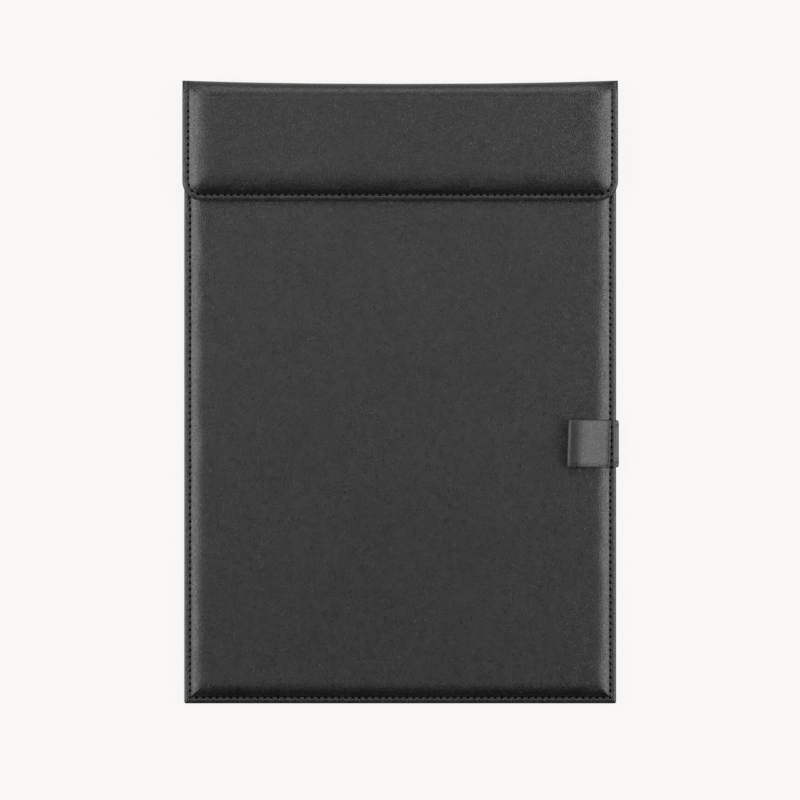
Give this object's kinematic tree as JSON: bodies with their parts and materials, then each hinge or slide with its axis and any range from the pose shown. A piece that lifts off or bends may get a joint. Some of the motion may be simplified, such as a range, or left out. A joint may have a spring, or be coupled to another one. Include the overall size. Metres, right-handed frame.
{
  "type": "conference folder",
  "caption": "Padded A4 writing folder in black leather: a stiff board, a folding magnetic flap over the top end that clamps the paper, and a pen loop on the right edge.",
  "frame": {"origin": "on the back face that the folder lies on, under the middle of its outline", "axes": "+Z out of the writing face, +Y towards the flap end, +X towards the pen loop"},
  "size_m": [0.2272, 0.3244, 0.0127],
  "materials": {
    "leather": "smooth black synthetic leather, fine grain",
    "strap_leather": "smooth black strap leather",
    "greyboard": "matt pressed greyboard",
    "foam": "soft dark foam",
    "steel": "thin sheet steel",
    "magnet": "nickel plated magnet"
  },
  "bodies": {
    "board": {"back_skin": "leather", "front_skin": "leather", "board_core": "greyboard", "board_foam": "foam", "catch_plate_left": "steel", "catch_plate_right": "steel", "pen_loop_tail": "strap_leather"},
    "spine": {"spine_skin": "leather", "spine_lining": "leather"},
    "flap": {"flap_skin": "leather", "flap_lining": "leather", "flap_stiffener": "greyboard", "flap_foam": "foam", "magnet_left": "magnet", "magnet_right": "magnet"},
    "pen_loop": {"pen_loop": "strap_leather"}
  },
  "joints": [
    {"name": "spine_fold", "type": "hinge", "parent": "board", "child": "spine", "pos_m": [0, 0.15866, 0.00179], "axis": [-1, 0, 0], "range_deg": [0, 90]},
    {"name": "flap_fold", "type": "hinge", "parent": "spine", "child": "flap", "pos_m": [0, 0.15866, 0.01041], "axis": [-1, 0, 0], "range_deg": [0, 90]},
    {"name": "pen_loop_lift", "type": "hinge", "parent": "board", "child": "pen_loop", "pos_m": [0.10945, -0.0269, 0.0063], "axis": [0, 1, 0], "range_deg": [0, 75]}
  ]
}
